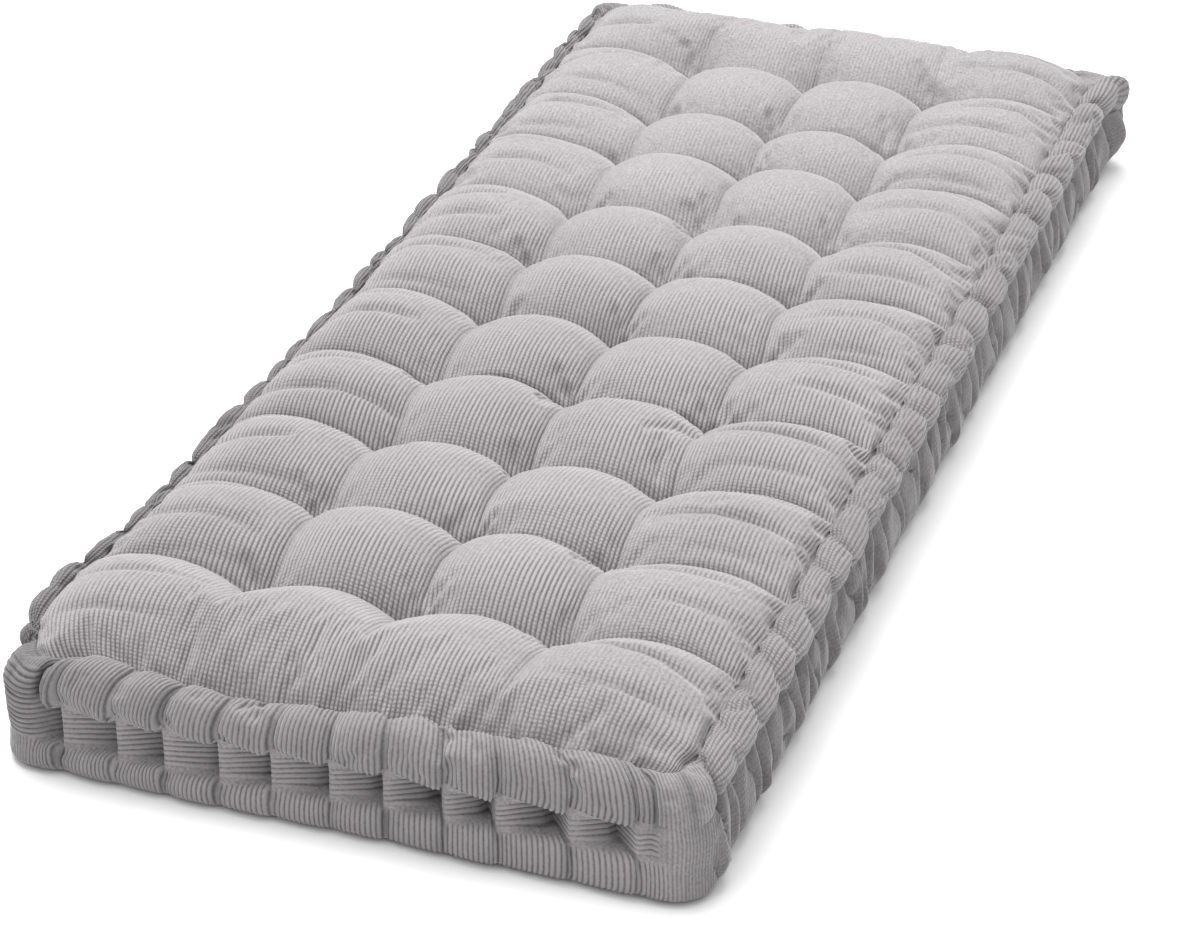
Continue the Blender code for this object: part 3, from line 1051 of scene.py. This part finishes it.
def add_top_panel(columns, rows, move, drawn, material):
    """The tufted top panel in three pieces. Returns them with the panel's points."""
    smooth = top_surface(columns, rows, drawn)
    along_rows = catmull_rom(move, columns).transpose(1, 0, 2)
    smooth = smooth + catmull_rom(along_rows, rows).transpose(1, 0, 2)
    lines = np.arange(len(columns))
    normals = grid_normals(smooth)
    back = normals[..., 1]
    crest = rising(back, *CREST_BRUSHED)
    left = smooth_step(-normals[..., 0] / LEFT_BLEND)
    far = far_end(smooth[..., 1])
    near_right = rising(smooth[..., 0], *RIGHT_BRUSHED)
    near_right = near_right * (1.0 - rising(smooth[..., 1], *NEAR_BRUSHED))
    nap = NAP_CREST * crest + NAP_LEFT * left + NAP_FAR * far + NAP_NEAR_RIGHT * near_right
    nap = np.clip(nap, 0.0, NAP_MOST)
    # Painted light and shade of the top: painted shade in the creases, a painted highlight on
    # the far slopes of the crests, and painted light at the far end
    fold_shade_mask = np.clip(crease_dip(columns, rows, drawn) / FOLD_DEEP, 0.0, 1.0) ** FOLD_POWER
    rim = between(back, *RIM_HIGHLIGHT_SLOPES)
    painted_light_and_shade = (1.0 + RIM_PAINTED_HIGHLIGHT * rim + FAR_PAINTED_LIGHT * far) * (1.0 - FOLD_PAINTED_SHADE * fold_shade_mask)
    ridges = rib_wave(lines)[:, None] * (1.0 - NAP_FLATTENS * nap)
    points = smooth + normals * ridges[..., None]
    u = lines * RIB_PITCH / LINES_PER_RIB
    v = cloth_run(smooth, axis=1)
    cloth = np.stack(np.broadcast_arrays(u[:, None], v), -1)
    third = len(rows) // 3
    pieces = []
    for name, part in (
        ("top_panel_front", slice(0, third + 1)),
        ("top_panel_middle", slice(third, 2 * third + 1)),
        ("top_panel_back", slice(2 * third, None)),
    ):
        faces = grid_faces(*points[:, part].shape[:2])
        uvs = cloth[:, part].reshape(-1, 2)[faces]
        marks = nap[:, part], painted_light_and_shade[:, part]
        pieces.append(build_mesh(name, points[:, part], faces, uvs, material, *marks))
    return pieces, points, u, v


def side_cloth(depth, u, v):
    """Cloth coordinates of the faces of a side whose ribs carry on from the top."""
    parts = []
    for number in range(4):
        along = (u, v, u[::-1], v[::-1])[number][None, :]
        out = (-depth, u[-1] + depth, v[-1] + depth, -depth)[number][:, None]
        if number % 2 == 0:
            out = 0.0 * out
        along, out = np.broadcast_arrays(along, out)
        if number % 2 == 0:
            parts.append(face_corners(np.stack((along, out), -1)))
            continue
        cloth = face_corners(np.stack((out, along), -1))
        middle = 0.5 * (along[0, :-1] + along[0, 1:])
        bulge = (middle < CORNER_CLOTH) | (middle > v[-1] - CORNER_CLOTH)
        turned = face_corners(np.stack((along, 0.0 * out), -1))
        parts.append(np.where(bulge[None, :, None, None], turned, cloth))
    return np.concatenate(parts, axis=1)


def face_corners(grid):
    """Values at the four corners of each face of a grid, in the order of ring_faces."""
    return np.stack((grid[:-1, :-1], grid[1:, :-1], grid[1:, 1:], grid[:-1, 1:]), 2)


def rib_lines(columns, sizes):
    """Numbers of the rib lines that run down the ends. On the sides none do."""
    last = len(columns) - 1
    still = np.zeros(sizes[1])
    return np.concatenate((np.arange(last), still, np.arange(last, 0, -1), still))


def corner_share(places, levels):
    """1 on the front left corner, where the ribs lie level, between roll and foot."""
    band = between(levels, *CORNER_RIB_LEVELS)
    return np.outer(band, near_first_corner(places, LEVEL_CORNER, 4))


def level_wave(heights):
    """Height of the ribs that lie level."""
    return POCKET_RIB_HEIGHT * np.cos(2.0 * np.pi * heights / POCKET_RIB_PITCH)


def level_cloth(heights):
    """Cloth coordinates of the faces of a side whose ribs lie level."""
    closed = np.concatenate((heights, heights[:, :1]), axis=1) * RIB_PITCH / POCKET_RIB_PITCH
    return face_corners(np.stack((closed, 0.0 * closed), -1))


def add_upper_roll(columns, rows, move, panel_points, u, v, drawn, material):
    """The stitched roll, and the ropes along the sides, down to the pockets' top."""
    places, sizes = ring_places(columns, rows)
    trial = np.linspace(0.0, LIP, 40)
    shape = side_surface(places[:: LINES_PER_RIB * 4], trial, drawn)[0]
    count = int(round(cloth_run(shape)[-1] / RIB_PITCH)) * LINES_PER_RIB
    levels = even_places(shape, count) * LIP / (len(trial) - 1)
    smooth, _deep, end, wall, fold_shade_mask = side_surface(places, levels, drawn)
    around = catmull_rom(move.transpose(1, 0, 2), places, closed=True).transpose(1, 0, 2)
    smooth = smooth + catmull_rom(around, levels * (len(move) - 1) / LIP)

    lines = np.arange(count + 1)
    down = (lines / count)[:, None]
    low = smooth_step(1.6 * down - 0.8)
    level = corner_share(places, levels)
    ridges = rib_wave(rib_lines(columns, sizes)) * (end * (0.9 + 0.4 * down))
    ridges = ridges + rib_wave(lines)[:, None] * wall * (1.0 - low)
    ridges = ridges + (level_wave(smooth[..., 2]) - ridges) * level
    points = smooth + ring_normals(smooth) * ridges[..., None]
    points[0] = ring_walk(panel_points)
    ribbed = end * (0.50 + 0.45 * down) + wall * (0.85 - 0.75 * low)
    ribbed = ribbed + CORNER_RIBS * (1.0 - end - wall) + 0.4 * level
    # The roll's colour takes painted shade, darkest on the left rope and darker in its folds,
    # with painted light towards the far end
    return build_side(
        "upper_roll", points, smooth[..., 2], level,
        side_cloth(lines * RIB_PITCH / LINES_PER_RIB, u, v), material, ribbed,
        painted_side_shade(places, fold_shade_mask, *ROLL_PAINTED_SHADES), ROPE_BEADS * wall,
    )


def lower_levels():
    levels = [float(LIP)]
    for number, count in enumerate(LOWER_ROWS):
        levels += [LIP + number + (n + 1) / count for n in range(count)]
    return np.array(levels)


def add_lower_side(columns, rows, u, v, drawn, material):
    """Pockets, lower roll and pleated walls, down to the underside."""
    places, sizes = ring_places(columns, rows)
    levels = lower_levels()
    smooth, deep, end, wall, fold_shade_mask = side_surface(places, levels, drawn)
    heights = smooth[..., 2]
    in_pocket = between(levels, *POCKET_LEVELS)[:, None]
    on_roll = between(levels, *LOWER_RIB_LEVELS)[:, None]
    hollow = in_pocket * (smooth_step((end - 0.5) / 0.5) * np.clip(0.7 + deep, 0.0, 1.0))
    hollow = np.maximum(hollow, corner_share(places, levels))
    ridges = hollow * level_wave(heights)
    ridges = ridges + LOWER_RIBS * rib_wave(rib_lines(columns, sizes)) * end * on_roll
    points = smooth + ring_normals(smooth) * ridges[..., None]
    points[..., 2] = np.maximum(points[..., 2], 0.0)
    points[-1, :, 2] = 0.0

    uvs = side_cloth(cloth_run(smooth), u, v)
    ribbed = 0.9 * on_roll * end + 0.85 * hollow + 0.12 * wall
    ribbed = ribbed + CORNER_RIBS * (1.0 - end - wall)
    # Painted shade on the side below the roll, darkest on the walls and in its folds, and more
    # painted shade in the pockets' recesses
    painted_light_and_shade = painted_side_shade(places, fold_shade_mask, *LOWER_PAINTED_SHADES)
    painted_light_and_shade = painted_light_and_shade * (1.0 - POCKET_PAINTED_SHADE * in_pocket * np.clip(deep, 0.0, 1.2))
    return build_side(
        "pockets_and_lower_roll", points, heights, hollow, uvs, material, ribbed, painted_light_and_shade
    )


def share_normals(pieces):
    """Gives the points where pieces meet one normal each, so that no joint shows."""
    found = {}
    normals = []
    for piece in pieces:
        own = [vertex.normal.copy() for vertex in piece.data.vertices]
        normals.append(own)
        for vertex, normal in zip(piece.data.vertices, own):
            key = tuple(round(value, 6) for value in vertex.co)
            found[key] = found.get(key, Vector((0.0, 0.0, 0.0))) + normal
    for piece, own in zip(pieces, normals):
        for number, vertex in enumerate(piece.data.vertices):
            key = tuple(round(value, 6) for value in vertex.co)
            own[number] = found[key].normalized()
        piece.data.normals_split_custom_set_from_vertices(own)


def add_bottom_panel(material):
    """The flat underside, drawn up into a dimple under each tuft."""
    share_x, share_y = np.linspace(-1.0, 1.0, 81), np.linspace(-1.0, 1.0, 201)
    square = np.stack(np.meshgrid(share_x, share_y, indexing="ij"), -1).reshape(-1, 2)
    xy, _out = edge_points(square, BOTTOM_INSET)
    x, y = pull_corner(xy[:, 0], xy[:, 1])
    z = np.full(len(x), BOTTOM_LIFT)
    for tuft_x, tuft_y in TUFTS:
        away = np.hypot(x - tuft_x, y - tuft_y) / DIMPLE_RADIUS
        z += DIMPLE_DEPTH * np.exp(-(away**2))
    faces = grid_faces(len(share_x), len(share_y))[:, ::-1]
    points = np.stack((x, y, z), -1)
    nap = np.full(len(points), BOTTOM_NAP)
    return build_mesh("bottom_panel", points, faces, points[:, :2][faces], material, nap)


# ---- sewing


def add_threads(name, threads, radius, material):
    """Short bars of thread, each bent over three points."""
    around, bends = 6, 5
    vertices, faces = [], []
    for start, middle, end in threads:
        first = len(vertices)
        for bend in range(bends):
            share = bend / (bends - 1)
            centre = start * (1.0 - share) ** 2 + middle * 2.0 * share * (1.0 - share)
            centre = centre + end * share**2
            way = ((middle - start) * (1.0 - share) + (end - middle) * share).normalized()
            side = way.cross(Vector((0.0, 0.0, 1.0)))
            if side.length < 0.1:
                side = way.cross(Vector((0.0, 1.0, 0.0)))
            side.normalize()
            other = side.cross(way)
            for step in range(around):
                turn = 2.0 * math.pi * step / around
                out = side * math.cos(turn) + other * math.sin(turn)
                vertices.append(tuple(centre + radius * out))
        for bend in range(bends - 1):
            for step in range(around):
                a = first + bend * around + step
                b = first + bend * around + (step + 1) % around
                faces.append((a, b, b + around, a + around))
        faces.append(tuple(first + step for step in reversed(range(around))))
        faces.append(tuple(first + (bends - 1) * around + step for step in range(around)))
    mesh = new_mesh(name, vertices, faces)
    mesh.materials.append(material)
    mesh.shade_smooth()
    return add_thing(name, mesh)


def add_ties(panel_points, columns, rows, material):
    """The tuft ties, a bar of thread in each pit and one in the dimple under it."""
    threads = []
    half, lift = Vector(TIE_HALF), Vector(TIE_LIFT)
    stops = np.cumsum(along_steps())[:-1]
    for number in range(len(TUFT_COLUMNS)):
        across = int(np.argmin(np.abs(columns - SIM_ACROSS * (number + 1))))
        for place in stops:
            along = int(np.argmin(np.abs(rows - place)))
            pit = Vector(panel_points[across, along])
            threads.append((pit - half - lift * 0.5, pit + lift * 1.5, pit + half - lift * 0.5))
            under = Vector((pit.x, pit.y, BOTTOM_LIFT + DIMPLE_DEPTH))
            threads.append((under - half, under - lift * 0.6, under + half))
    return add_threads("tuft_ties", threads, TIE_RADIUS, material)


def add_stitches(drawn, material):
    """The hand stitches that gather the roll, one at each end of each pocket."""
    places = np.arange(POCKETS, dtype=float) * SIM_PER_POCKET
    points = side_surface(places, STITCH_LEVELS, drawn)[0]
    threads = []
    for number in range(POCKETS):
        if number not in CORNERS:
            start, middle, end = (Vector(points[row, number]) for row in range(3))
            threads.append((start, middle + Vector((0.0, 0.0, STITCH_RADIUS)), end))
    return add_threads("roll_stitches", threads, STITCH_RADIUS, material)


# ---- materials


def add_node(tree, kind, inputs=None, **settings):
    node = tree.nodes.new(kind)
    for name, value in settings.items():
        setattr(node, name, value)
    for socket, value in (inputs or {}).items():
        if isinstance(value, bpy.types.NodeSocket):
            tree.links.new(value, node.inputs[socket])
        else:
            node.inputs[socket].default_value = value
    return node


def chenille_material():
    """Ribs cut into beads, with a soft pile that hides them where the nap is brushed, in a
    colour that carries painted light and shade.
    """
    material = bpy.data.materials.new("ribbed_chenille")
    material.use_nodes = True
    tree = material.node_tree
    shader = tree.nodes["Principled BSDF"]

    def math_of(operation, *values):
        inputs = dict(enumerate(values))
        return add_node(tree, "ShaderNodeMath", inputs, operation=operation).outputs[0]

    def noise(vector, scale, detail):
        inputs = {"Vector": vector, "Scale": scale, "Detail": detail}
        return add_node(tree, "ShaderNodeTexNoise", inputs).outputs["Fac"]

    def mark_of(name):
        return add_node(tree, "ShaderNodeAttribute", attribute_name=name).outputs["Fac"]

    def wave(place, pitch, roundness):
        turn = math_of("COSINE", math_of("MULTIPLY", place, 2.0 * math.pi / pitch))
        return math_of("POWER", math_of("MULTIPLY_ADD", turn, 0.4995, 0.5), roundness)

    cloth = add_node(tree, "ShaderNodeUVMap", uv_map="cloth").outputs["UV"]
    place = add_node(tree, "ShaderNodeTexCoord").outputs["Object"]
    split = add_node(tree, "ShaderNodeSeparateXYZ", {0: cloth})
    stray = noise(place, STRAY_SCALE, 2.0)
    shift = math_of("MULTIPLY_ADD", stray, WEAVE_STRAY, -0.5 * WEAVE_STRAY)
    along = math_of("ADD", split.outputs["Y"], math_of("MULTIPLY", shift, 3.0))
    across = math_of("ADD", split.outputs["X"], math_of("MULTIPLY", shift, 0.5))
    rib = wave(across, RIB_PITCH, RIB_ROUNDNESS)
    bead = wave(along, BEAD_PITCH, BEAD_ROUNDNESS)
    cut = noise(place, CUT_SCALE, 2.0)
    cut = math_of("MULTIPLY_ADD", cut, 1.4 * BEAD_SHARE, -0.1 * BEAD_SHARE)
    cut = math_of("ADD", cut, mark_of("beads"))
    cut.node.use_clamp = True
    gap = math_of("MULTIPLY", math_of("SUBTRACT", 1.0, bead), cut)
    weave = math_of("MULTIPLY", rib, math_of("SUBTRACT", 1.0, gap))

    patches = noise(place, PATCH_SCALE, 3.0)
    patches = math_of("MULTIPLY_ADD", patches, NAP_PATCHES, -0.5 * NAP_PATCHES)
    brushed = math_of("ADD", mark_of("nap"), patches)
    brushed.node.use_clamp = True
    fuzz = noise(place, FUZZ_SCALE, 3.0)
    pile = math_of("MULTIPLY_ADD", fuzz, 0.5, 0.33)
    inputs = {"Factor": brushed, "A": weave, "B": pile}
    relief = add_node(tree, "ShaderNodeMix", inputs, data_type="FLOAT").outputs["Result"]
    rough = math_of("MULTIPLY_ADD", fuzz, FUZZ_RELIEF, -0.5 * FUZZ_RELIEF)
    relief = math_of("ADD", relief, rough)

    ramp = add_node(tree, "ShaderNodeValToRGB", {0: relief})
    stops = ((GROOVE_RELIEF, GROOVE_COLOUR), (PILE_RELIEF, PILE_COLOUR))
    for stop, (position, colour) in zip(ramp.color_ramp.elements, stops):
        stop.position = position
        stop.color = (*colour, 1.0)
    tone_and_painted_shade = math_of("MULTIPLY_ADD", noise(place, TONE_SCALE, 3.0), *TONES)
    # The random tone is multiplied by the painted light and shade held on the points
    tone_and_painted_shade = math_of("MULTIPLY", tone_and_painted_shade, mark_of("painted_light_and_shade"))
    inputs = {0: ramp.outputs["Color"], "Scale": tone_and_painted_shade}
    colour_with_painted_shade = add_node(tree, "ShaderNodeVectorMath", inputs, operation="SCALE")
    tree.links.new(colour_with_painted_shade.outputs["Vector"], shader.inputs["Base Color"])
    inputs = {"Strength": BUMP_STRENGTH, "Distance": BUMP_DISTANCE, "Height": relief}
    bump = add_node(tree, "ShaderNodeBump", inputs)
    tree.links.new(bump.outputs["Normal"], shader.inputs["Normal"])
    for name, value in PILE_FINISH.items():
        shader.inputs[name].default_value = value
    return material


def plain_material(name, colour, roughness):
    material = bpy.data.materials.new(name)
    material.use_nodes = True
    shader = material.node_tree.nodes["Principled BSDF"]
    shader.inputs["Base Color"].default_value = (*colour, 1.0)
    shader.inputs["Roughness"].default_value = roughness
    return material


# ---- studio


def add_camera():
    """The photograph's viewpoint, fitted to the tufts and the outline."""
    heading, down, roll = (math.radians(a) for a in CAMERA_ANGLES)
    flat = math.cos(down)
    forward = Vector((math.sin(heading) * flat, math.cos(heading) * flat, -math.sin(down)))
    level = Vector((math.cos(heading), -math.sin(heading), 0.0))
    upright = level.cross(forward)
    right = level * math.cos(roll) + upright * math.sin(roll)
    up = upright * math.cos(roll) - level * math.sin(roll)
    camera = bpy.data.cameras.new("camera")
    camera.sensor_width = 36.0
    camera.lens = CAMERA_LENS
    camera.clip_start = 0.05
    thing = add_thing("camera", camera)
    axes = Matrix((right, up, -forward)).transposed()
    thing.matrix_world = Matrix.Translation(CAMERA_PLACE) @ axes.to_4x4()
    bpy.context.scene.camera = thing


def add_floor():
    corners = ((-1.0, -1.0), (1.0, -1.0), (1.0, 1.0), (-1.0, 1.0))
    points = [(FLOOR_SIZE * x, FLOOR_SIZE * y, 0.0) for x, y in corners]
    mesh = new_mesh("floor", points, [(0, 1, 2, 3)])
    mesh.materials.append(plain_material("pale_floor", FLOOR_COLOUR, 0.9))
    add_thing("floor", mesh)


def add_lights():
    """A white sky, brighter overhead, and one wide key light."""
    world = bpy.data.worlds.new("studio")
    world.use_nodes = True
    tree = world.node_tree
    way = add_node(tree, "ShaderNodeTexCoord").outputs["Generated"]
    height = add_node(tree, "ShaderNodeSeparateXYZ", {0: way}).outputs["Z"]
    inputs = {0: height, 1: SKY_RISE, 2: SKY_HORIZON}
    glow = add_node(tree, "ShaderNodeMath", inputs, operation="MULTIPLY_ADD").outputs[0]
    background = tree.nodes["Background"]
    background.inputs["Color"].default_value = (1.0, 1.0, 1.0, 1.0)
    tree.links.new(glow, background.inputs["Strength"])
    bpy.context.scene.world = world

    light = bpy.data.lights.new("key", "AREA")
    light.shape = "DISK"
    light.size = KEY_SIZE
    light.energy = KEY_POWER
    thing = add_thing("key", light)
    thing.location = KEY_PLACE
    thing.rotation_euler = (-Vector(KEY_PLACE)).to_track_quat("-Z", "Y").to_euler()


# ---- assembly


def main():
    bpy.context.scene.view_settings.view_transform = "Standard"
    add_camera()
    add_floor()
    add_lights()
    chance = random.Random(SEED)
    drawn = draw_chances(chance)
    x_lines, y_lines = sim_lines()
    columns, rows = np.arange(float(len(x_lines))), np.arange(float(len(y_lines)))
    top = top_surface(columns, rows, drawn)
    places, _sizes = ring_places(columns, rows)
    rings = side_surface(places, np.linspace(0.0, LIP, SIM_RINGS + 1), drawn)[0]
    top_move, ring_move = np.zeros_like(top), np.zeros_like(rings)
    top_move, ring_move = simulate(top, rings, chance)

    chenille = chenille_material()
    thread = plain_material("sewing_thread", THREAD_COLOUR, 0.8)
    columns, rows = fine_columns(top), fine_rows()
    pieces, panel_points, u, v = add_top_panel(columns, rows, top_move, drawn, chenille)
    pieces += [
        add_upper_roll(columns, rows, ring_move, panel_points, u, v, drawn, chenille),
        add_lower_side(columns, rows, u, v, drawn, chenille),
        add_bottom_panel(chenille),
    ]
    share_normals(pieces[:3])
    share_normals(pieces[3:5])
    for piece in pieces:
        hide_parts("cushion")
    pieces += [
        add_ties(panel_points, columns, rows, thread),
        add_stitches(drawn, thread),
    ]
    for piece in pieces:
        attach(piece, "root")


main()
